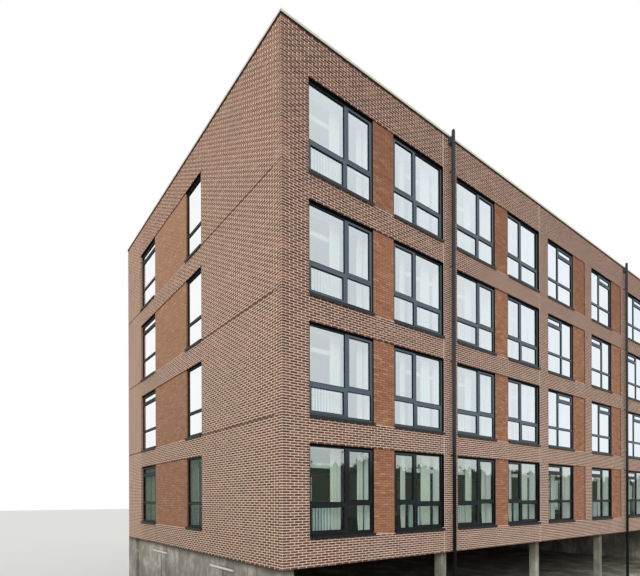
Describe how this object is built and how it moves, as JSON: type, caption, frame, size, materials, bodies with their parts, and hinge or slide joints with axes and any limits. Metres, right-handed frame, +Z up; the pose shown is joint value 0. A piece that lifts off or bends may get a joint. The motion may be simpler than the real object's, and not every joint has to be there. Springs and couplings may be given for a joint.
{
  "type": "apartment block",
  "caption": "Long brick apartment block with paired windows and warm brick panels, raised over an open parking level.",
  "frame": {"origin": "on the ground under the middle of the plan", "axes": "+X along the long walls, -Y out of the front wall, +Z up"},
  "size_m": [29.948, 13.3216, 16.062],
  "materials": {
    "brick": "rough brown-red facing brick",
    "panel_brick": "orange-brown facing brick with close joints",
    "concrete": "grey fair-faced concrete",
    "inner_leaf": "pale concrete, painted inside",
    "roof_membrane": "dark roofing membrane",
    "frame": "anthracite powder coat, satin",
    "sill": "anthracite powder coat, satin",
    "glass": "clear double glazing",
    "mortar": "pale sand mortar, raked back",
    "coping": "light grey sheet metal, matt",
    "pipe": "grey sheet metal, matt",
    "outlet": "dark grey sheet metal, matt",
    "sealant": "pale sealant, matt",
    "light_metal": "silver tube",
    "conduit": "light grey plastic"
  },
  "bodies": {
    "root": {"base_slab": "concrete", "parking_left_wall": "concrete", "parking_right_wall": "concrete", "parking_back_wall": "concrete", "parking_columns": "concrete", "deck_slab": "concrete", "floor_slab_2": "concrete", "floor_slab_3": "concrete", "floor_slab_4": "concrete", "roof_slab": "concrete", "roof_covering": "roof_membrane", "front_brick_bands": "brick", "back_brick_bands": "brick", "left_brick_bands": "brick", "right_brick_bands": "brick", "front_brick_piers": "brick", "back_brick_piers": "brick", "left_brick_piers": "brick", "right_brick_piers": "brick", "front_inner_wall": "inner_leaf", "back_inner_wall": "inner_leaf", "left_inner_wall": "inner_leaf", "right_inner_wall": "inner_leaf", "front_inner_piers": "inner_leaf", "back_inner_piers": "inner_leaf", "end_inner_piers": "inner_leaf", "front_brick_panels": "panel_brick", "back_brick_panels": "panel_brick", "left_brick_panels": "panel_brick", "right_brick_panels": "panel_brick", "front_windows": "frame", "back_windows": "frame", "left_windows": "frame", "right_windows": "frame", "front_glass": "glass", "back_glass": "glass", "end_glass": "glass", "front_sills": "sill", "back_sills": "sill", "end_sills": "sill", "roof_coping": "coping", "downpipes": "pipe", "pipe_brackets": "pipe", "roof_outlets": "outlet", "movement_joints": "sealant", "wall_lights": "light_metal", "light_conduits": "conduit"}
  },
  "joints": []
}
